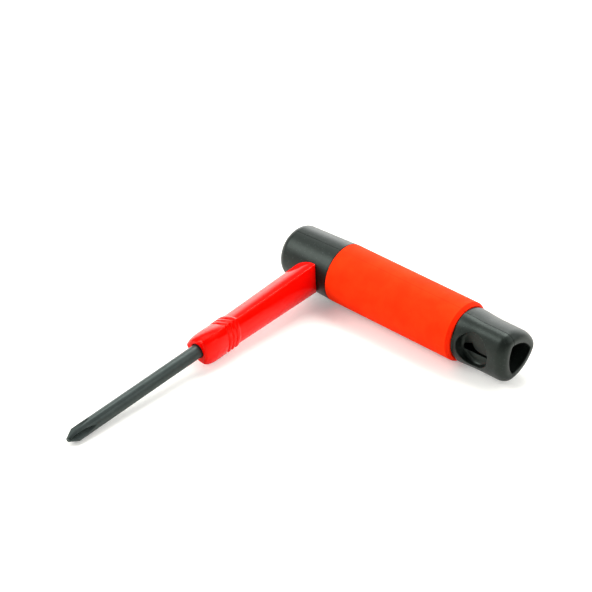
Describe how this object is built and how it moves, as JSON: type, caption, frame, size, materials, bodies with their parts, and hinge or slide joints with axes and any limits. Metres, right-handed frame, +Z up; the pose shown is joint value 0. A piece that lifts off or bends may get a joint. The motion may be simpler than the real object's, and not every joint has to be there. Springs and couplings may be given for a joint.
{
  "type": "right-angle screwdriver",
  "caption": "Cross-point screwdriver whose blade and carrier plug across the head of a sleeved handle to make an L, with a socket in the tail for use as a straight driver.",
  "frame": {"origin": "middle of the tool's footprint, on the surface that it lies on", "axes": "+X along the handle from its domed head to its open tail, -Y along the carrier towards the blade's point, +Z up"},
  "size_m": [0.1238, 0.1653, 0.0263],
  "materials": {
    "black_core_plastic": "satin moulded plastic with a fine texture",
    "orange_red_rubber": "matte soft grip",
    "glossy_red_plastic": "polished",
    "black_oxide_steel": "black oxide, satin",
    "spring_steel": "bright strip"
  },
  "bodies": {
    "handle": {"front_shell": "black_core_plastic", "rear_shell": "black_core_plastic", "grip_sleeve": "orange_red_rubber", "head_spring": "spring_steel", "tail_spring": "spring_steel"},
    "blade_unit": {"blade_carrier": "glossy_red_plastic", "driver_blade": "black_oxide_steel"}
  },
  "joints": [
    {"name": "carrier_slide", "type": "slide", "parent": "handle", "child": "blade_unit", "axis": [0, -0.9977, -0.0685], "range_m": [0, 0.024], "deforming": ["head_spring"]}
  ]
}
